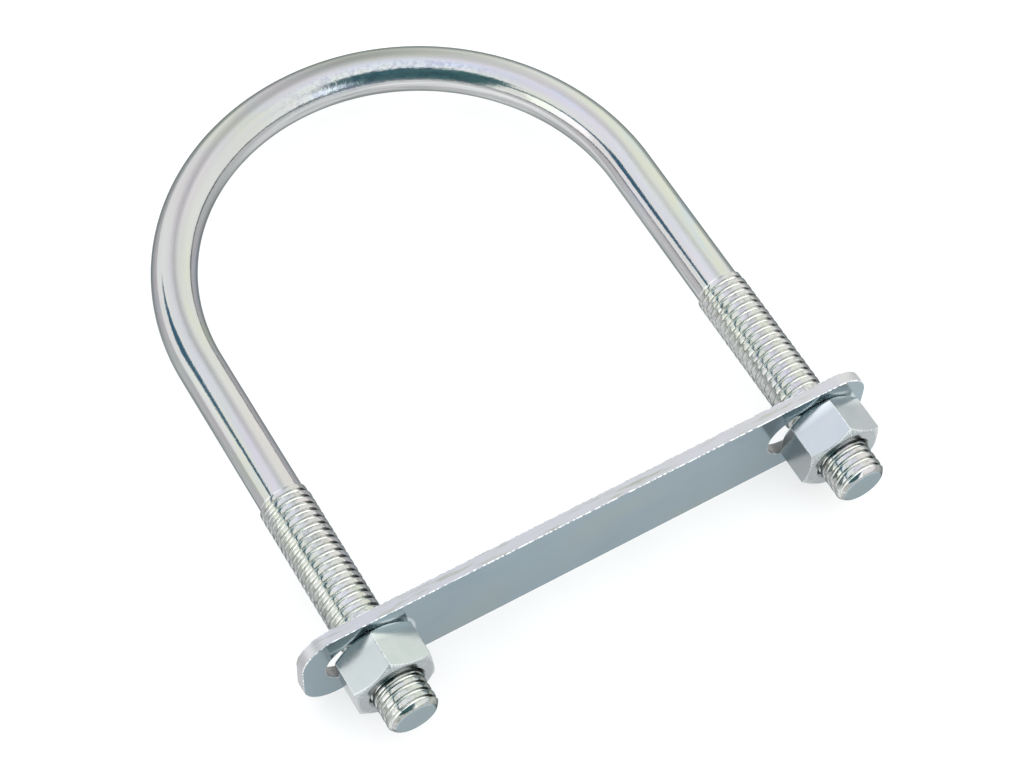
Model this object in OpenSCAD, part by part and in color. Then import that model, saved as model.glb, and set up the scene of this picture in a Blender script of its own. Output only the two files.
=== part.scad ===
// U-bolt clamp: a bent rod threaded at both ends, a slotted cross plate and two hex nuts.
// The U lies in the XY plane, with its bend towards +Y and its legs running towards -Y.
// The origin is the centre of the bend, on the axis of the tube that the U-bolt holds.
// All sizes are in millimetres.

/* [Rod] */
// Distance between the centre lines of the two legs
leg_spacing = 117.8; // [116.6:0.1:119]
// Diameter of the plain round bar
shank_d = 11.2; // [10.8:0.1:11.6]
// Length of a leg, from the centre of the bend to the end of the rod
leg_length = 102.6; // [98:0.1:120]

/* [Thread] */
// Major diameter of the thread
thread_d = 12.7; // [12.5:0.1:12.8]
// Pitch of the thread, 13 to the inch
thread_pitch = 1.954; // [1.75:0.001:2.1]
// Length of the threaded part of each leg
thread_length = 61.7; // [50:0.1:64]
// Diameter of the flat at the very end of the rod
tip_d = 9.4; // [8.6:0.1:10.2]
// Length of the bevel that leads onto the thread
tip_bevel = 1.3; // [1:0.1:1.8]

/* [Plate] */
// Length of the plate
plate_length = 148; // [147.6:0.1:154]
// Width of the flat bar, which stands on its long edge
plate_width = 25.4; // [22:0.1:30]
// Thickness of the flat bar
plate_thickness = 3; // [2.5:0.1:5]
// Radius of the four corners
plate_corner_r = 8.5; // [6:0.1:10.5]
// Distance from the centre of one slot to the centre of the other
slot_spacing = 116; // [115.6:0.1:116.6]
// Overall length of a slot
slot_length = 20.6; // [20.2:0.1:21.4]
// Height of a slot, which is also the diameter of its round ends
slot_height = 14.3; // [13.4:0.1:16]
// Sideways play taken up in the slots, from the centre of the U to the centre of the plate
plate_shift = -2.3; // [-2.5:0.1:2.5]
// Distance from the centre of the bend to the face that meets the tube
plate_y = 80; // [72:0.1:86]

/* [Nuts] */
// Width across the flats of a nut
nut_flats = 19.05; // [18.4:0.05:20]
// Height of a nut
nut_height = 11.1; // [9:0.1:12]
// Width of the round chamfered face of a nut, as a share of its width across flats
nut_face_share = 0.95; // [0.9:0.01:0.98]
// Radial clearance between the thread and the bore of a nut
nut_clearance = 0.05; // [0.03:0.01:0.09]
// Turn of the left nut, from +X to its first corner
left_nut_turn = 96; // [60:1:120]
// Turn of the right nut, from +X to its first corner
right_nut_turn = 84; // [60:1:120]

/* [Hidden] */
$fn = 96;

zinc = [0.80, 0.82, 0.84];
satin_zinc = [0.62, 0.68, 0.72];

leg_x = leg_spacing / 2;
shank_r = shank_d / 2;
thread_r = thread_d / 2;

// A 60 degree thread form: flat crests of pitch / 8 and flat roots of pitch / 4.
ridge_crest = thread_pitch / 8;
ridge_root = thread_pitch / 4;
ridge_flank = (thread_pitch - ridge_crest - ridge_root) / 2;
root_r = thread_r - ridge_flank / tan(30);
ridge_count = floor((thread_length - tip_bevel) / thread_pitch);
thread_start = leg_length - thread_length;

nut_bore_r = thread_r + nut_clearance;
nut_mouth_r = nut_bore_r + 0.7;
nut_corner_r = nut_flats / 2 / cos(30);
nut_face_r = nut_flats / 2 * nut_face_share;
nut_bevel_r = nut_corner_r + 1;
nut_bevel = (nut_bevel_r - nut_face_r) * tan(30);
nut_mouth_depth = (nut_mouth_r - nut_bore_r) * tan(45);
// Length by which a cutting shape runs past the face that it cuts
overcut = 1;

// Half of the outline of one leg: radius, then distance from the centre of the bend.
// Ridges stand one behind the other from the start of the thread to the bevelled end.
leg_outline = [
    [0, 0],
    [shank_r, 0],
    [shank_r, thread_start],
    for (i = [0 : ridge_count - 1])
        let (ridge_y = thread_start + i * thread_pitch)
        each [
            [root_r, ridge_y + (i == 0 ? 0 : ridge_root)],
            [thread_r, ridge_y + ridge_root + ridge_flank],
            [thread_r, ridge_y + ridge_root + ridge_flank + ridge_crest],
            [root_r, ridge_y + thread_pitch]
        ],
    [root_r, leg_length - (root_r - tip_d / 2)],
    [tip_d / 2, leg_length],
    [0, leg_length]
];

// Turns a shape built upwards along +Z so that it points along -Y.
module along_leg() {
    rotate([90, 0, 0])
        children();
}

// A slot with round ends, in the plane of the plate.
module slot_outline() {
    straight = slot_length - slot_height;
    square([straight, slot_height], center = true);
    for (side = [-1, 1])
        translate([side * straight / 2, 0])
            circle(d = slot_height);
}

// The flat bar's outline, with four round corners.
module plate_outline() {
    corner_x = plate_length / 2 - plate_corner_r;
    corner_z = plate_width / 2 - plate_corner_r;
    square([plate_length, 2 * corner_z], center = true);
    square([2 * corner_x, plate_width], center = true);
    for (side = [-1, 1], level = [-1, 1])
        translate([side * corner_x, level * corner_z])
            circle(r = plate_corner_r);
}

// A hex nut built upwards from the face that meets the plate.
// Both faces are bevelled to a circle, and both mouths of the bore are countersunk.
module hex_nut(turn) {
    difference() {
        intersection() {
            rotate([0, 0, turn])
                cylinder(r = nut_corner_r, h = nut_height, $fn = 6);
            rotate_extrude()
                polygon([
                    [0, 0],
                    [nut_face_r, 0],
                    [nut_bevel_r, nut_bevel],
                    [nut_bevel_r, nut_height - nut_bevel],
                    [nut_face_r, nut_height],
                    [0, nut_height]
                ]);
        }
        translate([0, 0, -overcut])
            cylinder(r = nut_bore_r, h = nut_height + 2 * overcut);
        cylinder(r1 = nut_mouth_r, r2 = nut_bore_r, h = nut_mouth_depth);
        translate([0, 0, nut_height - nut_mouth_depth])
            cylinder(r1 = nut_bore_r, r2 = nut_mouth_r, h = nut_mouth_depth);
    }
}

// One round bar, bent to a half circle, with a leg at each side.
module u_bolt() {
    color(zinc) {
        rotate_extrude(angle = 180)
            translate([leg_x, 0])
                circle(r = shank_r);
        for (side = [-1, 1])
            translate([side * leg_x, 0, 0])
                along_leg()
                    rotate_extrude()
                        polygon(leg_outline);
    }
}

// The slotted flat bar that closes the U.
module plate() {
    color(satin_zinc)
        translate([plate_shift, -plate_y, 0])
            along_leg()
                linear_extrude(height = plate_thickness)
                    difference() {
                        plate_outline();
                        for (side = [-1, 1])
                            translate([side * slot_spacing / 2, 0])
                                slot_outline();
                    }
}

// A nut on the leg at the given side, seated on the outer face of the plate.
module seated_nut(side, turn) {
    translate([side * leg_x, -plate_y - plate_thickness, 0])
        along_leg()
            hex_nut(turn);
}

module nut_left() {
    color(zinc)
        seated_nut(-1, left_nut_turn);
}

module nut_right() {
    color(zinc)
        seated_nut(1, right_nut_turn);
}

u_bolt();
plate();
nut_left();
nut_right();
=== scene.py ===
import math

import bmesh
import bpy
from mathutils import Matrix, Vector, noise


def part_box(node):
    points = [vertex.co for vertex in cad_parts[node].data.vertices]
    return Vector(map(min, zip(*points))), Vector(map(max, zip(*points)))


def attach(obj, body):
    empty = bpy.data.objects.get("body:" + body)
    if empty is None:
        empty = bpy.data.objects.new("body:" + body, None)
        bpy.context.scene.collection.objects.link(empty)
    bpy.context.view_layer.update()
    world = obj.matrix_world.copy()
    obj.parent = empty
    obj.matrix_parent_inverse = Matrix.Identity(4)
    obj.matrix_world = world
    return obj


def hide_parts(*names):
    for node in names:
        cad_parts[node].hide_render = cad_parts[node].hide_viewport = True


# A U-bolt of zinc-plated bar, its slotted cross plate and its two hex nuts.
# The bar is rolled to a real helical thread, and each nut has the matching thread inside.

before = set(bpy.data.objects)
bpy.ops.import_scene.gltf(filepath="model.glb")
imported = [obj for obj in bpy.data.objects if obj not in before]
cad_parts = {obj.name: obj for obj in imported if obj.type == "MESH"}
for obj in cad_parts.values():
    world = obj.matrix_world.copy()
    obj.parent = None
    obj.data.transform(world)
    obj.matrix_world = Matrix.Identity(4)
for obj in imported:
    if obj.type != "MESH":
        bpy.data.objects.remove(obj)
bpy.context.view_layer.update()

MM = 0.001
TAU = 2 * math.pi

# ---------------------------------------------------------------- places from the CAD frame
rod_low, rod_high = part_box("u_bolt")
plate_low, plate_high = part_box("plate")
nut_low, nut_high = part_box("nut_right")

# A nut sits in the middle of its leg, and the thread is the thickest part of the bar.
LEG_X = (nut_low.x + nut_high.x) / 2
THREAD_R = rod_high.z
SHANK_R = rod_high.y - LEG_X
TIP_Y = rod_low.y
NUT_SEAT_Y = nut_high.y
NUT_HEIGHT = nut_high.y - nut_low.y
PLATE_CENTRE = (plate_low + plate_high) / 2
PLATE_LENGTH = plate_high.x - plate_low.x
PLATE_WIDTH = plate_high.z - plate_low.z
PLATE_THICKNESS = plate_high.y - plate_low.y

# ---------------------------------------------------------------- sizes, as in part.scad
PITCH = 1.954 * MM
THREAD_START_Y = -40.9 * MM
TIP_R = 4.7 * MM
NUT_FLATS = 19.05 * MM
NUT_FACE_R = 9.05 * MM
NUT_TURNS = {"nut_left": 96, "nut_right": 84}
SLOT_SPACING = 116 * MM
SLOT_LENGTH = 20.6 * MM
SLOT_HEIGHT = 14.3 * MM
CORNER_R = 8.5 * MM
# A hair under half the height, so that the short sides of a slot keep some length
SLOT_END_R = SLOT_HEIGHT / 2 - 0.001 * MM

# ---------------------------------------------------------------- sizes of the visible surface
# The rolled thread is shallower than the CAD's ridges, and its crests have small lumps.
ROOT_R = 5.52 * MM
CREST_R = THREAD_R - 0.03 * MM
LUMP_HEIGHT = 0.05 * MM
LUMPS_ROUND = 4.2
LUMPS_ALONG = 900
TIP_BEVEL = 1.5 * MM
TIP_ROUNDNESS = 0.55

NUT_CREST_GAP = 0.22 * MM
NUT_ROOT_GAP = 0.12 * MM
NUT_MOUTH_R = THREAD_R + 0.75 * MM
NUT_MOUTH_SLOPE = 0.8
NUT_BEVEL_SLOPE = math.tan(math.radians(30))
NUT_ARRIS = 0.16 * MM
NUT_CORNER_CUT = 0.035 * MM
NUT_CORNER_ANGLE = 0.006
NUT_WEAR_HIGHLIGHT_ANGLE = 0.009

PLATE_ARRIS = 0.2 * MM

# Distances along the straightened bar, from the top of the bend to the thread and to the tip
QUARTER_BEND = LEG_X * math.pi / 2
THREAD_ALONG = QUARTER_BEND - THREAD_START_Y
TIP_ALONG = QUARTER_BEND - TIP_Y

# Columns round the bar, rows along one pitch of the thread, and steps in a plate corner
AROUND = 72
ROWS = 14
CORNER_STEPS = 16


# ---------------------------------------------------------------- small mathematics
def clamp(value, low=0.0, high=1.0):
    return max(low, min(high, value))


def ease(value):
    """A smooth step from 0 to 1."""
    value = clamp(value)
    return value * value * (3 - 2 * value)


def mix(a, b, share):
    return a + (b - a) * share


# ---------------------------------------------------------------- mesh building
class Surface:
    """Collects grids of points, joins them where they meet, and makes one mesh object of them.

    Each point carries a place on the straightened bar, and a height on the thread from 0 to 1,
    so that a material can follow the bar round its bend and find the roots of the thread.
    """

    def __init__(self, name):
        self.name = name
        self.bm = bmesh.new()
        self.place = self.bm.verts.layers.float_vector.new("bar_place")
        self.height = self.bm.verts.layers.float.new("thread_height")

    def vert(self, point, place, height):
        vert = self.bm.verts.new(point)
        vert[self.place] = place
        vert[self.height] = height
        return vert

    def grid(self, rows):
        """Rows of (point, place, height), all of one length, joined by four-sided faces."""
        made = [[self.vert(*entry) for entry in row] for row in rows]
        for upper, lower in zip(made, made[1:]):
            for i in range(len(upper) - 1):
                self.bm.faces.new((upper[i], lower[i], lower[i + 1], upper[i + 1]))

    def finish(self, sharp_degrees):
        """Joins the grids where they meet, and gives back one smooth-shaded object."""
        bm = self.bm
        bmesh.ops.remove_doubles(bm, verts=bm.verts, dist=2e-7)
        bmesh.ops.dissolve_degenerate(bm, edges=bm.edges, dist=1e-7)
        bmesh.ops.recalc_face_normals(bm, faces=bm.faces)
        mesh = bpy.data.meshes.new(self.name)
        bm.to_mesh(mesh)
        bm.free()
        mesh.shade_smooth()
        mesh.set_sharp_from_angle(angle=math.radians(sharp_degrees))
        piece = bpy.data.objects.new(self.name, mesh)
        bpy.context.scene.collection.objects.link(piece)
        return piece


# ---------------------------------------------------------------- the thread
# Distance down a leg is measured from here, a whole number of pitches above the bar's end.
GRID_TURNS = math.ceil((THREAD_START_Y - TIP_Y) / PITCH) + 1
GRID_TOP_Y = TIP_Y + GRID_TURNS * PITCH
START_TURN = (GRID_TOP_Y - THREAD_START_Y) / PITCH
NUT_TOP_DOWN = GRID_TOP_Y - NUT_SEAT_Y


def thread_form(phase, crest=0.56, root=0.10):
    """Height of the thread, from 0 at a root to 1 at a crest, for a phase in turns.

    The shares of one pitch that are crest and root are given, and a crest is a little rounded.
    """
    away = abs(phase % 1.0 - 0.5) * 2
    height = clamp((1 - root - away) / (1 - root - crest))
    crown = 0.05 * clamp(away / crest) ** 2
    return mix(height, ease(height), 0.3) * (1 - crown)


def bar_thread_radius(down, angle):
    """Radius of a leg at a distance down from GRID_TOP_Y, and its height on the thread.

    The thread runs out over about a turn at its start, and ends in a bevel at the tip.
    """
    turn = down / PITCH - angle / TAU
    ridge = math.floor(turn + 1e-6) + angle / TAU
    grown = ease((ridge - START_TURN + 0.75) / 0.6)
    sunk = ease((down / PITCH - START_TURN + 0.45) / 0.9)
    root = mix(SHANK_R, ROOT_R, sunk)
    height = thread_form(turn) * grown
    round_place = Vector((math.cos(angle), math.sin(angle), 0)) * LUMPS_ROUND
    lumps = noise.noise(round_place + Vector((0, 0, down * LUMPS_ALONG)))
    radius = mix(root, CREST_R, height) + LUMP_HEIGHT * lumps * height
    share = clamp((GRID_TURNS * PITCH - down) / TIP_BEVEL)
    round_share = math.sqrt(1 - (1 - share) ** 2)
    bevel = mix(TIP_R, THREAD_R, mix(share, round_share, TIP_ROUNDNESS))
    return min(radius, bevel), mix(1.0, height, sunk)


def nut_thread_radius(down, angle):
    """Radius of a nut's bore, in mesh with the bar's thread at a small clearance."""
    height = thread_form(down / PITCH - angle / TAU)
    radius = mix(ROOT_R + NUT_CREST_GAP, THREAD_R + NUT_ROOT_GAP, height)
    from_mouth = min(down - NUT_TOP_DOWN, NUT_TOP_DOWN + NUT_HEIGHT - down)
    mouth = NUT_MOUTH_R - from_mouth * NUT_MOUTH_SLOPE
    return max(radius, mouth), height


def helix_rows(first, turns, offset=0.0):
    """Rows of (distance down, angle) that follow the helix, closed by a wedge at each end."""
    steps = [((i / ROWS) + offset) % 1.0 for i in range(ROWS)]
    steps = sorted(set([0.0] + [round(s, 6) for s in steps]))
    angles = [TAU * i / AROUND for i in range(AROUND + 1)]
    lead = [PITCH * a / TAU for a in angles]
    rows = [[(first + s * d, a) for d, a in zip(lead, angles)] for s in steps]
    for turn in range(turns):
        for s in steps:
            rows.append([(first + (turn + s) * PITCH + d, a) for d, a in zip(lead, angles)])
    for s in steps + [1.0]:
        rows.append([
            (first + turns * PITCH + d + s * (PITCH - d), a) for d, a in zip(lead, angles)
        ])
    return rows


# ---------------------------------------------------------------- the bar
def leg_point(side, down, angle, radius, along):
    """A point of a leg, with its place on the straightened bar."""
    x = side * LEG_X + radius * math.cos(angle)
    z = radius * math.sin(angle)
    outward = math.cos(angle) * side
    place = (radius * outward, z, along)
    return Vector((x, GRID_TOP_Y - down, z)), place


def add_leg(surface, side):
    angles = [TAU * i / AROUND for i in range(AROUND + 1)]

    def ring(y, radius):
        along = side * (QUARTER_BEND - y)
        points = [leg_point(side, GRID_TOP_Y - y, a, radius, along) for a in angles]
        return [(point, place, 1.0) for point, place in points]

    shank_steps = 10
    surface.grid([ring(GRID_TOP_Y * i / shank_steps, SHANK_R) for i in range(shank_steps + 1)])

    rows = []
    for row in helix_rows(0.0, GRID_TURNS - 1):
        made = []
        for down, angle in row:
            radius, height = bar_thread_radius(down, angle)
            along = side * (QUARTER_BEND - GRID_TOP_Y + down)
            point, place = leg_point(side, down, angle, radius, along)
            made.append((point, place, height))
        rows.append(made)
    surface.grid(rows)

    tip_edge, _ = bar_thread_radius(GRID_TURNS * PITCH, 0.0)
    surface.grid([ring(TIP_Y, tip_edge * share) for share in (1.0, 0.985, 0.9, 0.5, 0.02, 0.0)])


def add_bend(surface, steps=140):
    rows = []
    for i in range(steps + 1):
        turn = math.pi * i / steps
        out = Vector((math.cos(turn), math.sin(turn), 0))
        along = LEG_X * (math.pi / 2 - turn)
        row = []
        for k in range(AROUND + 1):
            angle = TAU * k / AROUND
            outward = SHANK_R * math.cos(angle)
            z = SHANK_R * math.sin(angle)
            row.append((out * (LEG_X + outward) + Vector((0, 0, z)), (outward, z, along), 1.0))
        rows.append(row)
    surface.grid(rows)


def make_rod():
    surface = Surface("rod")
    add_bend(surface)
    for side in (-1, 1):
        add_leg(surface, side)
    return surface.finish(sharp_degrees=38)


# ---------------------------------------------------------------- the nuts
def hex_radius(angle, turn):
    """Distance from the axis to a side of the nut, with corners rounded a little."""
    apothem = NUT_FLATS / 2
    from_corner = math.pi / 6 - abs((angle - turn) % (math.pi / 3) - math.pi / 6)
    sharp = apothem / math.cos(math.pi / 6 - from_corner)
    return sharp - NUT_CORNER_CUT * math.exp(-((from_corner / NUT_CORNER_ANGLE) ** 2))


def nut_angles(turn):
    """Angles round a nut, closer together at its six corners."""
    angles = []
    for k in range(6):
        corner = turn + k * math.pi / 3
        for step in (0, 0.0035, 0.008, 0.018, 0.06, 0.16, 0.26, 0.38, 0.52):
            angles.append(corner + step)
        for step in (0.38, 0.26, 0.16, 0.06, 0.018, 0.008, 0.0035):
            angles.append(corner + math.pi / 3 - step)
    return angles + [turn + TAU]


def nut_profile(angle, turn):
    """The outline of a nut from one mouth to the other, as (radius, distance from the seat)."""
    side = hex_radius(angle, turn)
    rise = (side - NUT_FACE_R) * NUT_BEVEL_SLOPE
    soft = min(NUT_ARRIS, rise * 0.4)
    half = [
        (NUT_MOUTH_R, 0.0),
        (NUT_MOUTH_R + 0.1 * MM, 0.0),
        (NUT_FACE_R - 0.25 * MM, 0.0),
        (NUT_FACE_R - 0.05 * MM, 0.01 * MM),
        (NUT_FACE_R + 0.1 * MM, 0.1 * MM * NUT_BEVEL_SLOPE),
        (side - soft, rise - soft * NUT_BEVEL_SLOPE),
        (side - soft * 0.22, rise + soft * 0.30),
        (side, rise + soft),
        (side, rise + soft + 0.3 * MM),
    ]
    other = [(radius, NUT_HEIGHT - depth) for radius, depth in reversed(half)]
    return half + other


def make_nut(name, side, turn_degrees):
    """A nut, its corners and bevel edges marked for wear and a painted highlight by a thread height of
    1.
    """
    turn = math.radians(turn_degrees)
    surface = Surface(name)
    centre_x = side * LEG_X

    def entry(angle, radius, depth, height):
        point = Vector((
            centre_x + radius * math.cos(angle),
            NUT_SEAT_Y - depth,
            radius * math.sin(angle),
        ))
        return point, point - Vector((centre_x, NUT_SEAT_Y, 0)), height

    angles = nut_angles(turn)
    profiles = [nut_profile(a, turn) for a in angles]
    count = len(profiles[0])
    bevel_edges = (5, 6, count - 7, count - 6)
    rows = []
    for i in range(count):
        row = []
        for a, outline in zip(angles, profiles):
            from_corner = abs((a - turn + math.pi / 6) % (math.pi / 3) - math.pi / 6)
            wear_and_highlight = from_corner < NUT_WEAR_HIGHLIGHT_ANGLE or i in bevel_edges
            row.append(entry(a, *outline[i], 1.0 if wear_and_highlight else 0.5))
        rows.append(row)
    surface.grid(rows)

    bore = Surface(name + "_bore")
    turns = math.floor(NUT_HEIGHT / PITCH) - 1
    rows = []
    for row in helix_rows(NUT_TOP_DOWN, turns, offset=-(NUT_TOP_DOWN / PITCH) % 1.0):
        rows.append([bore_entry(centre_x, down, angle) for down, angle in row])
    bottom = NUT_TOP_DOWN + (turns + 1) * PITCH
    left = NUT_TOP_DOWN + NUT_HEIGHT - bottom
    for i in range(1, 11):
        down = bottom + left * i / 10
        rows.append([bore_entry(centre_x, down, TAU * k / AROUND) for k in range(AROUND + 1)])
    bore.grid(rows)
    bore_piece = bore.finish(sharp_degrees=40)
    nut = surface.finish(sharp_degrees=24)
    join(nut, bore_piece)
    return nut


def bore_entry(centre_x, down, angle):
    """A point of a nut's bore, with its place from the nut's seat and its depth in the thread."""
    radius, height = nut_thread_radius(down, angle)
    point = Vector((
        centre_x + radius * math.cos(angle),
        GRID_TOP_Y - down,
        radius * math.sin(angle),
    ))
    return point, point - Vector((centre_x, NUT_SEAT_Y, 0)), 1 - height


def join(piece, other):
    """Adds the other object's mesh to the piece, and removes the other object."""
    bm = bmesh.new()
    bm.from_mesh(piece.data)
    bm.from_mesh(other.data)
    bm.to_mesh(piece.data)
    bm.free()
    bpy.data.objects.remove(other)


# ---------------------------------------------------------------- the plate
def rounded_outline(curve, centre, length, width, radius, inner):
    """Adds a closed outline of straight sides and quarter-circle corners to a curve."""
    points = []
    half_l, half_w = length / 2 - radius, width / 2 - radius
    for quarter, (sx, sy) in enumerate(((1, 1), (-1, 1), (-1, -1), (1, -1))):
        for i in range(CORNER_STEPS + 1):
            a = (quarter + i / CORNER_STEPS) * math.pi / 2
            x = centre[0] + sx * half_l + radius * math.cos(a)
            y = centre[1] + sy * half_w + radius * math.sin(a)
            points.append((x, y))
    if inner:
        points.reverse()
    spline = curve.splines.new("POLY")
    spline.points.add(len(points) - 1)
    for target, (x, y) in zip(spline.points, points):
        target.co = (x, y, 0, 1)
    spline.use_cyclic_u = True


def make_plate():
    """The slotted bar with a rounded arris, its rim and its arris marked for the material."""
    curve = bpy.data.curves.new("cross_plate", "CURVE")
    curve.dimensions = "2D"
    curve.fill_mode = "BOTH"
    rounded_outline(curve, (0, 0), PLATE_LENGTH, PLATE_WIDTH, CORNER_R, False)
    for side in (-1, 1):
        centre = (side * SLOT_SPACING / 2, 0)
        rounded_outline(curve, centre, SLOT_LENGTH, SLOT_HEIGHT, SLOT_END_R, True)
    curve.extrude = PLATE_THICKNESS / 2 - PLATE_ARRIS
    curve.bevel_depth = PLATE_ARRIS
    curve.bevel_resolution = 3
    curve.offset = -PLATE_ARRIS
    shape = bpy.data.objects.new("plate_outline", curve)
    bpy.context.scene.collection.objects.link(shape)
    bpy.context.view_layer.update()
    mesh = bpy.data.meshes.new_from_object(shape.evaluated_get(bpy.context.evaluated_depsgraph_get()))
    bpy.data.objects.remove(shape)
    mesh.name = "cross_plate"
    stand = Matrix.Translation(PLATE_CENTRE) @ Matrix.Rotation(math.pi / 2, 4, "X")
    mesh.transform(stand)
    bm = bmesh.new()
    bm.from_mesh(mesh)
    bmesh.ops.remove_doubles(bm, verts=bm.verts, dist=1e-6)
    bmesh.ops.recalc_face_normals(bm, faces=bm.faces)
    bm.to_mesh(mesh)
    bm.free()
    rim = mesh.attributes.new("rim", "FLOAT", "CORNER")
    arris = mesh.attributes.new("arris", "FLOAT", "CORNER")
    for face in mesh.polygons:
        facing = abs(face.normal.y)
        for corner in face.loop_indices:
            rim.data[corner].value = 1.0 if facing < 0.6 else 0.0
            arris.data[corner].value = 1.0 if 0.1 < facing < 0.99 else 0.0
    mesh.shade_smooth()
    mesh.set_sharp_from_angle(angle=math.radians(30))
    piece = bpy.data.objects.new("cross_plate", mesh)
    bpy.context.scene.collection.objects.link(piece)
    return piece


# ---------------------------------------------------------------- materials
class Nodes:
    """A short way to write a node tree."""

    def __init__(self, name):
        self.material = bpy.data.materials.new(name)
        self.material.use_nodes = True
        self.tree = self.material.node_tree
        self.tree.nodes.clear()
        self.output = self.add("ShaderNodeOutputMaterial")
        self.shader = self.add("ShaderNodeBsdfPrincipled")
        self.tree.links.new(self.shader.outputs["BSDF"], self.output.inputs["Surface"])

    def add(self, kind, inputs=None, **settings):
        node = self.tree.nodes.new(kind)
        for key, value in settings.items():
            setattr(node, key, value)
        for key, value in (inputs or {}).items():
            self.put(node.inputs[key], value)
        return node

    def put(self, socket, value):
        if isinstance(value, bpy.types.NodeSocket):
            self.tree.links.new(value, socket)
        else:
            socket.default_value = value

    def attribute(self, name, output):
        return self.add("ShaderNodeAttribute", attribute_name=name).outputs[output]

    def object_place(self):
        return self.add("ShaderNodeTexCoord").outputs["Object"]

    def scaled(self, vector, scale, offset=(0, 0, 0)):
        node = self.add("ShaderNodeMapping", {"Vector": vector, "Scale": scale, "Location": offset})
        return node.outputs["Vector"]

    def noise(self, vector, scale=1.0, detail=3.0, roughness=0.5, distortion=0.0):
        settings = {"Scale": scale, "Detail": detail, "Roughness": roughness, "Distortion": distortion}
        settings["Vector"] = vector
        return self.add("ShaderNodeTexNoise", settings).outputs["Fac"]

    def ramp(self, value, stops):
        node = self.add("ShaderNodeValToRGB", {"Fac": value})
        node.color_ramp.interpolation = "EASE"
        elements = node.color_ramp.elements
        while len(elements) < len(stops):
            elements.new(0.5)
        for element, (position, colour) in zip(elements, stops):
            element.position = position
            element.color = (*colour, 1)
        return node.outputs["Color"]

    def range(self, value, low, high, to_low=0.0, to_high=1.0):
        places = {"Value": value, "From Min": low, "From Max": high, "To Min": to_low, "To Max": to_high}
        return self.add("ShaderNodeMapRange", places).outputs["Result"]

    def math(self, operation, *values):
        node = self.add("ShaderNodeMath", operation=operation)
        for socket, value in zip(node.inputs, values):
            self.put(socket, value)
        return node.outputs[0]

    def mix_colour(self, share, a, b, blend="MIX"):
        node = self.add("ShaderNodeMix", data_type="RGBA", blend_type=blend)
        self.put(node.inputs["Factor"], share)
        self.put(node.inputs["A"], a if isinstance(a, bpy.types.NodeSocket) else (*a, 1))
        self.put(node.inputs["B"], b if isinstance(b, bpy.types.NodeSocket) else (*b, 1))
        return node.outputs["Result"]

    def bump(self, height, distance, strength=1.0, normal=None):
        node = self.add("ShaderNodeBump", {"Height": height, "Distance": distance, "Strength": strength})
        if normal is not None:
            self.put(node.inputs["Normal"], normal)
        return node.outputs["Normal"]

    def shade(self, colour, roughness, normal=None, metallic=1.0):
        self.put(self.shader.inputs["Base Color"], colour)
        self.put(self.shader.inputs["Roughness"], roughness)
        self.put(self.shader.inputs["Metallic"], metallic)
        if normal is not None:
            self.put(self.shader.inputs["Normal"], normal)
        return self.material


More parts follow.
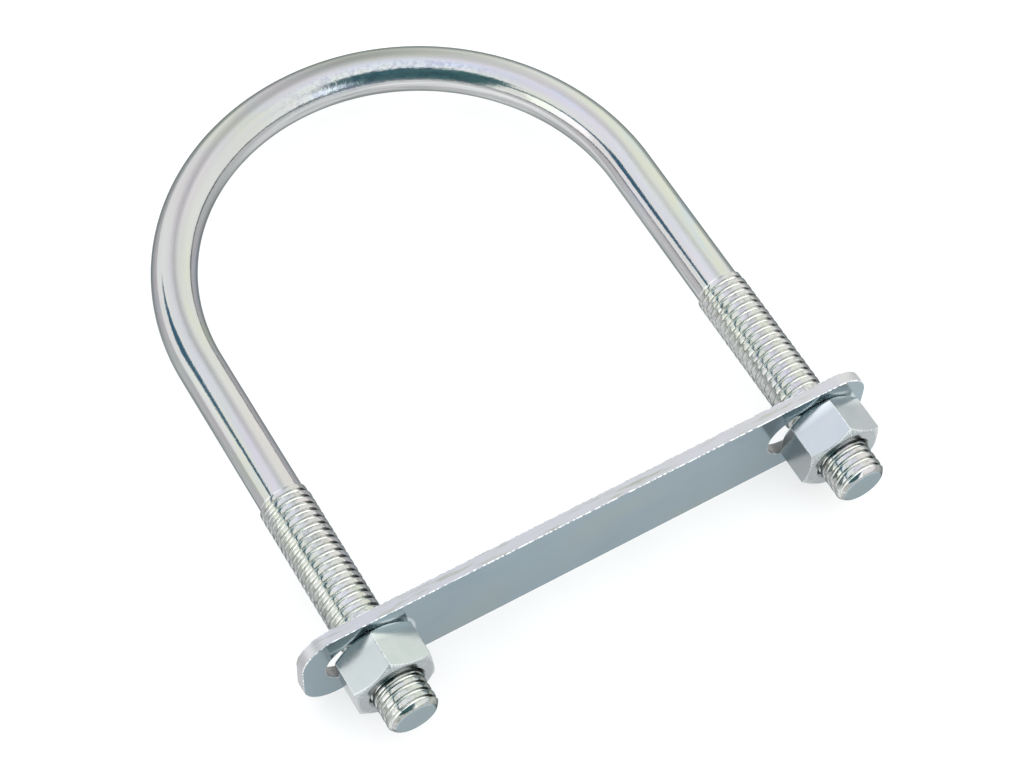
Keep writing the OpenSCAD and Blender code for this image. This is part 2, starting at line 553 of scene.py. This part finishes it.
def rod_zinc():
    """Bright zinc on drawn bar: lengthwise bands, faint colours, stains inside the top, painted light on
    the underside, and thread roots painted light but painted dark towards one side.
    """
    n = Nodes("rod_zinc")
    place = n.attribute("bar_place", "Vector")
    height = n.attribute("thread_height", "Fac")
    bands = n.noise(n.scaled(place, (260, 260, 14)), detail=3)
    film = n.noise(n.scaled(place, (150, 150, 22), (3.1, 1.7, 0.4)), detail=2, distortion=0.6)
    colours = n.ramp(film, [
        (0.30, (0.375, 0.385, 0.425)),
        (0.42, (0.395, 0.380, 0.390)),
        (0.52, (0.380, 0.385, 0.385)),
        (0.62, (0.385, 0.395, 0.360)),
        (0.74, (0.350, 0.385, 0.405)),
    ])
    tone = n.range(bands, 0.3, 0.7, 0.90, 1.06)
    toned = n.mix_colour(1.0, colours, tone, "MULTIPLY")
    split = n.add("ShaderNodeSeparateXYZ", {"Vector": place})
    from_top = n.math("ABSOLUTE", split.outputs["Z"])
    inner_side = n.range(split.outputs["X"], -1.0 * MM, -2.2 * MM)
    from_stain = n.math("ABSOLUTE", n.math("SUBTRACT", split.outputs["Z"], 20 * MM))
    formed = n.math("MULTIPLY", n.range(from_stain, 36 * MM, 18 * MM), inner_side)
    stains = n.noise(n.scaled(place, (620, 620, 380), (1.3, 0.2, 2.9)), detail=4, roughness=0.75)
    stained = n.ramp(stains, [
        (0.38, (0.84, 0.88, 0.94)),
        (0.46, (0.90, 0.98, 1.00)),
        (0.54, (1.12, 1.20, 1.18)),
        (0.62, (0.94, 1.02, 0.96)),
    ])
    toned = n.mix_colour(formed, toned, n.mix_colour(1.0, toned, stained, "MULTIPLY"))
    bent = n.range(split.outputs["Z"], -QUARTER_BEND, QUARTER_BEND, -math.pi / 2, math.pi / 2)
    sideways = n.math("MULTIPLY", split.outputs["X"], n.math("SINE", bent))
    forward = n.math("MULTIPLY", split.outputs["X"], n.math("COSINE", bent))
    # Painted light: the underside of the bar is painted lighter, in lengthwise stripes, against the
    # shade it reflects from the floor beneath.
    low = n.math("MULTIPLY_ADD", n.math("ADD", sideways, forward), 0.35, split.outputs["Y"])
    under = n.range(low, 1.0 * MM, -1.4 * MM)
    underside_light_streaks = n.noise(n.scaled(place, (900, 900, 30), (0.7, 2.3, 0.9)), detail=3, roughness=0.6)
    toned = n.mix_colour(under, toned, n.range(underside_light_streaks, 0.32, 0.68, 0.36, 0.70))
    # Painted light and shade: the thread roots are painted light, except towards the +X side of each
    # leg, where they are painted dark, in place of the light and dark they reflect.
    groove = n.range(height, 0.25, 0.92, 1.0, 0.0)
    edges = n.range(sideways, 3.0 * MM, 4.4 * MM)
    painted_root_light_and_shade = n.mix_colour(edges, (0.82, 0.83, 0.80), (0.10, 0.11, 0.10))
    threaded = n.range(from_top, THREAD_ALONG, THREAD_ALONG + 2 * MM)
    blotches = n.noise(place, scale=620, detail=3, roughness=0.65, distortion=0.4)
    blotched = n.ramp(blotches, [
        (0.34, (0.66, 0.67, 0.66)),
        (0.46, (0.96, 0.98, 0.94)),
        (0.56, (1.10, 1.08, 1.12)),
        (0.70, (0.88, 0.92, 0.86)),
    ])
    blotched = n.mix_colour(1.0, toned, blotched, "MULTIPLY")
    toned = n.mix_colour(n.math("MULTIPLY", threaded, 0.75), toned, blotched)
    colour = n.mix_colour(groove, toned, painted_root_light_and_shade)
    tip = n.range(from_top, TIP_ALONG - 0.12 * MM, TIP_ALONG - 0.04 * MM)
    colour = n.mix_colour(tip, colour, (0.44, 0.50, 0.53))
    draw = n.noise(n.scaled(place, (420, 420, 16)), detail=3)
    grain = n.noise(n.scaled(place, (2400, 2400, 120)), detail=2)
    pits = n.noise(place, scale=900, detail=4, roughness=0.7)
    roughness = n.range(bands, 0.25, 0.75, 0.06, 0.12)
    roughness = n.math("ADD", roughness, n.math("MULTIPLY", n.math("MAXIMUM", groove, tip), 0.12))
    normal = n.bump(draw, 0.06 * MM, 0.5)
    normal = n.bump(grain, 0.01 * MM, 0.5, normal)
    pit_depth = n.range(formed, 0, 1, 0.04 * MM, 0.14 * MM)
    normal = n.bump(pits, pit_depth, n.range(threaded, 0, 1, 0.45, 0.75), normal)
    n.put(n.shader.inputs["Specular Tint"], (0.30, 0.34, 0.34, 1))
    return n.shade(colour, roughness, normal)


def plate_zinc():
    """Satin blue-grey zinc on flat bar, a sheared rim, painted highlight flecks along the arris, and
    painted light in a disc round each nut.
    """
    n = Nodes("plate_zinc")
    place = n.object_place()
    cloud = n.noise(n.scaled(place, (40, 40, 90)), detail=3)
    rolled = n.noise(n.scaled(place, (60, 900, 1500)), detail=2)
    edge = n.attribute("rim", "Fac")
    split = n.add("ShaderNodeSeparateXYZ", {"Vector": place})
    sideways = n.math("SUBTRACT", n.math("ABSOLUTE", split.outputs["X"]), LEG_X)
    squares = n.math("ADD", n.math("POWER", sideways, 2.0), n.math("POWER", split.outputs["Z"], 2.0))
    # Painted light: the plate is painted lighter in a disc round each nut's axis, against the shade and
    # dark reflection where the nut meets the plate.
    painted_light_round_nuts = n.range(n.math("SQRT", squares), 11.1 * MM, 10.5 * MM, 0.0, 0.65)
    colour = n.ramp(cloud, [
        (0.3, (0.225, 0.295, 0.335)),
        (0.5, (0.240, 0.312, 0.350)),
        (0.7, (0.252, 0.315, 0.335)),
    ])
    sheared = n.noise(n.scaled(place, (90, 900, 90)), detail=4, roughness=0.65)
    edge_colour = n.ramp(sheared, [
        (0.34, (0.30, 0.31, 0.27)),
        (0.46, (0.39, 0.39, 0.40)),
        (0.60, (0.40, 0.40, 0.43)),
        (0.72, (0.37, 0.38, 0.36)),
    ])
    colour = n.mix_colour(painted_light_round_nuts, colour, (0.66, 0.72, 0.74))
    colour = n.mix_colour(edge, colour, edge_colour)
    # Painted highlight: flecks along the arris are painted light, in place of the glint a thin arris
    # catches.
    specks = n.range(n.noise(place, scale=1300, detail=2), 0.42, 0.55)
    painted_arris_highlight = n.math("MULTIPLY", n.attribute("arris", "Fac"), specks)
    colour = n.mix_colour(painted_arris_highlight, colour, (0.80, 0.83, 0.84))
    roughness = n.range(cloud, 0.3, 0.7, 0.13, 0.19)
    roughness = n.math("ADD", roughness, n.math("MULTIPLY", edge, 0.22))
    scuffs = n.noise(place, scale=700, detail=4, roughness=0.7)
    normal = n.bump(rolled, 0.004 * MM, 0.3)
    normal = n.bump(scuffs, 0.02 * MM, n.range(edge, 0, 1, 0.12, 0.6), normal)
    return n.shade(colour, roughness, normal)


def nut_zinc():
    """Satin light zinc on the nuts, with edges lighter from wear and a painted highlight, a thread
    darker towards the roots of the bore, and painted light at the seat end.
    """
    n = Nodes("nut_zinc")
    place = n.object_place()
    height = n.attribute("thread_height", "Fac")
    cloud = n.noise(n.scaled(place, (170, 170, 170)), detail=4, roughness=0.6)
    fine = n.noise(place, scale=1600, detail=3, roughness=0.6)
    colour = n.ramp(cloud, [
        (0.30, (0.325, 0.360, 0.370)),
        (0.50, (0.345, 0.375, 0.385)),
        (0.72, (0.365, 0.380, 0.380)),
    ])
    # The bore's thread is painted darker towards its roots.
    bore_root_darkening = n.range(height, 0.0, 0.45, 0.5, 0.0)
    colour = n.mix_colour(bore_root_darkening, colour, (0.22, 0.23, 0.20))
    split = n.add("ShaderNodeSeparateXYZ", {"Vector": place})
    # Painted light: the end of the nut at its seat on the plate is painted lighter, against the shade
    # next to the plate.
    seat = n.range(split.outputs["Y"], NUT_SEAT_Y - 3.6 * MM, NUT_SEAT_Y - 0.2 * MM, 0.0, 0.7)
    colour = n.mix_colour(seat, colour, (0.70, 0.74, 0.75))
    # Wear and painted highlight: corners and bevel edges are painted lighter in flecks, partly as wear
    # and partly as the light line they catch.
    wear_and_highlight = n.range(height, 0.60, 0.98)
    wear_and_highlight = n.math("MULTIPLY", wear_and_highlight, n.range(fine, 0.35, 0.55))
    colour = n.mix_colour(wear_and_highlight, colour, (0.54, 0.57, 0.57))
    roughness = n.range(cloud, 0.3, 0.7, 0.14, 0.22)
    roughness = n.math("ADD", roughness, n.math("MULTIPLY", wear_and_highlight, 0.25))
    normal = n.bump(fine, 0.02 * MM, 0.4)
    return n.shade(colour, roughness, normal)


def floor_paint():
    """A pale floor that stays near white in the picture and greyer in reflections."""
    n = Nodes("floor_white")
    grain = n.noise(n.object_place(), scale=60, detail=2)
    colour = n.ramp(grain, [(0.3, (0.36, 0.36, 0.36)), (0.7, (0.38, 0.38, 0.38))])
    n.put(n.shader.inputs["Emission Color"], (1, 1, 1, 1))
    n.put(n.shader.inputs["Emission Strength"], 0.66)
    n.put(n.shader.inputs["Specular IOR Level"], 0.0)
    return n.shade(colour, 0.7, metallic=0.0)


# ---------------------------------------------------------------- studio
def toward(azimuth, elevation, distance):
    """A place seen from the middle of the U, with azimuth 0 along +Y and 90 along +X."""
    az, el = math.radians(azimuth), math.radians(elevation)
    flat = distance * math.cos(el)
    return Vector((flat * math.sin(az), flat * math.cos(az), distance * math.sin(el)))


def turned_to_middle(place):
    return (-place).to_track_quat("-Z", "Y").to_euler()


def soft_light(name, azimuth, elevation, distance, size, radiance):
    """A rectangular soft box, given by its radiance so that its size can change on its own."""
    light = bpy.data.lights.new(name, "AREA")
    light.shape = "RECTANGLE"
    light.size = size[0]
    light.size_y = size[1]
    light.energy = radiance * math.pi * size[0] * size[1]
    lamp = bpy.data.objects.new(name, light)
    lamp.location = toward(azimuth, elevation, distance)
    lamp.rotation_euler = turned_to_middle(lamp.location)
    bpy.context.scene.collection.objects.link(lamp)


def card(name, azimuth, elevation, across, up, colour, soft, mottle=0.0):
    """A flat card with soft edges a metre away, its width and height given as angles."""
    half_w = math.tan(math.radians(across / 2))
    half_h = math.tan(math.radians(up / 2))
    bm = bmesh.new()
    corners = ((-half_w, -half_h), (half_w, -half_h), (half_w, half_h), (-half_w, half_h))
    bm.faces.new([bm.verts.new((x, y, 0)) for x, y in corners])
    mesh = bpy.data.meshes.new(name)
    bm.to_mesh(mesh)
    bm.free()
    mesh.materials.append(card_tone(name, colour, soft, mottle))
    board = bpy.data.objects.new(name, mesh)
    board.location = toward(azimuth, elevation, 1.0)
    board.rotation_euler = turned_to_middle(board.location)
    bpy.context.scene.collection.objects.link(board)


def card_tone(name, colour, soft, mottle=0.0):
    """Light of one tone, broken up a little by mottle, that fades out over the soft share."""
    n = Nodes(name)
    n.tree.nodes.remove(n.shader)
    flat = n.add("ShaderNodeTexCoord").outputs["Generated"]
    spots = n.noise(n.scaled(flat, (22, 15, 1)), detail=5, roughness=0.75)
    patches = n.range(spots, 0.34, 0.66, 1 - mottle, 1 + mottle)
    glow = n.add("ShaderNodeEmission", {"Color": (*colour, 1), "Strength": patches})
    if not soft:
        n.tree.links.new(glow.outputs[0], n.output.inputs["Surface"])
        return n.material
    inside = n.add("ShaderNodeSeparateXYZ", {"Vector": flat})
    shares = []
    for axis in ("X", "Y"):
        from_middle = n.math("ABSOLUTE", n.math("SUBTRACT", inside.outputs[axis], 0.5))
        shares.append(n.range(from_middle, 0.5, 0.5 - 0.5 * soft))
    both = n.add("ShaderNodeMixShader", {"Fac": n.math("MULTIPLY", shares[0], shares[1])})
    clear = n.add("ShaderNodeBsdfTransparent")
    n.tree.links.new(clear.outputs[0], both.inputs[1])
    n.tree.links.new(glow.outputs[0], both.inputs[2])
    n.tree.links.new(both.outputs[0], n.output.inputs["Surface"])
    return n.material


def make_studio():
    scene = bpy.context.scene
    world = bpy.data.worlds.new("studio")
    world.use_nodes = True
    world.node_tree.nodes["Background"].inputs["Color"].default_value = (0.99, 1.0, 0.985, 1)
    world.node_tree.nodes["Background"].inputs["Strength"].default_value = 1.85
    scene.world = world
    scene.view_settings.view_transform = "Standard"
    soft_light("left_box", -90, 11, 1.1, (0.56, 0.84), 0.75)
    soft_light("front_box", 173, 12, 1.1, (0.24, 0.80), 0.8)
    card("camera_side", -153, 31, 66, 60, (0.12, 0.26, 0.29), soft=0.08, mottle=0.85)
    card("far_gap", 22, 30, 42, 96, (0.88, 0.90, 0.92), soft=0.9)
    card("right_wall", 68, 24, 56, 62, (1.86, 1.88, 1.74), soft=0.6)
    card("left_wall", -32, 58, 50, 40, (1.80, 1.82, 1.98), soft=0.8)
    card("ceiling", -30, 84, 60, 60, (1.60, 1.66, 1.90), soft=0.8)
    lamp_arm()


def lamp_arm():
    """The dark arm of a lamp, which shows in the legs as one narrow streak."""
    curve = bpy.data.curves.new("lamp_arm", "CURVE")
    curve.dimensions = "3D"
    curve.bevel_depth = 0.045
    curve.use_fill_caps = True
    spline = curve.splines.new("NURBS")
    places = ((0.52, 0.29, 0.3), (0.31, 0.268, 1.8), (0.24, 0.262, 2.1), (0.18, 0.262, 0.6),
              (-0.05, 0.264, 0.6), (-0.4, 0.27, 0.2))
    spline.points.add(len(places) - 1)
    for point, (y, z, thickness) in zip(spline.points, places):
        point.co = (-0.35, y, z, 1)
        point.radius = thickness
    spline.order_u = 3
    spline.use_endpoint_u = True
    arm = bpy.data.objects.new("lamp_arm", curve)
    curve.materials.append(card_tone("arm_tone", (0.10, 0.26, 0.40), soft=0.0))
    bpy.context.scene.collection.objects.link(arm)


def make_floor():
    bm = bmesh.new()
    bmesh.ops.create_grid(bm, x_segments=8, y_segments=8, size=3)
    mesh = bpy.data.meshes.new("floor")
    bm.to_mesh(mesh)
    bm.free()
    floor = bpy.data.objects.new("floor", mesh)
    floor.location.z = plate_low.z - 0.1 * MM
    floor.data.materials.append(floor_paint())
    bpy.context.scene.collection.objects.link(floor)


def make_camera():
    data = bpy.data.cameras.new("camera")
    data.sensor_width = 36
    data.lens = 96.1
    data.clip_start = 0.01
    data.clip_end = 20
    camera = bpy.data.objects.new("camera", data)
    place = Vector((-180.1, -317.1, 553.6)) * MM
    aim = Vector((2.4, -41.4, 0)) * MM
    roll = math.radians(3.64)
    look = (aim - place).to_track_quat("-Z", "Y").to_matrix() @ Matrix.Rotation(roll, 3, "Z")
    camera.location = place
    camera.rotation_euler = look.to_euler()
    bpy.context.scene.collection.objects.link(camera)
    bpy.context.scene.camera = camera


# ---------------------------------------------------------------- putting it together
def even_normals(piece):
    """Lets the broad flat faces decide the shading, so that they stay flat up to their edges."""
    even = piece.modifiers.new("even_normals", "WEIGHTED_NORMAL")
    even.mode = "FACE_AREA"
    even.weight = 80
    even.keep_sharp = True


def dress(piece, body, node, material):
    piece.data.materials.clear()
    piece.data.materials.append(material)
    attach(piece, body)
    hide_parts(node)


make_camera()
make_studio()
make_floor()

dress(make_rod(), "u_bolt", "u_bolt", rod_zinc())
plate = make_plate()
even_normals(plate)
dress(plate, "plate", "plate", plate_zinc())
nut_material = nut_zinc()
for node, side in (("nut_left", -1), ("nut_right", 1)):
    nut = make_nut("hex_" + node, side, NUT_TURNS[node])
    even_normals(nut)
    dress(nut, node, node, nut_material)
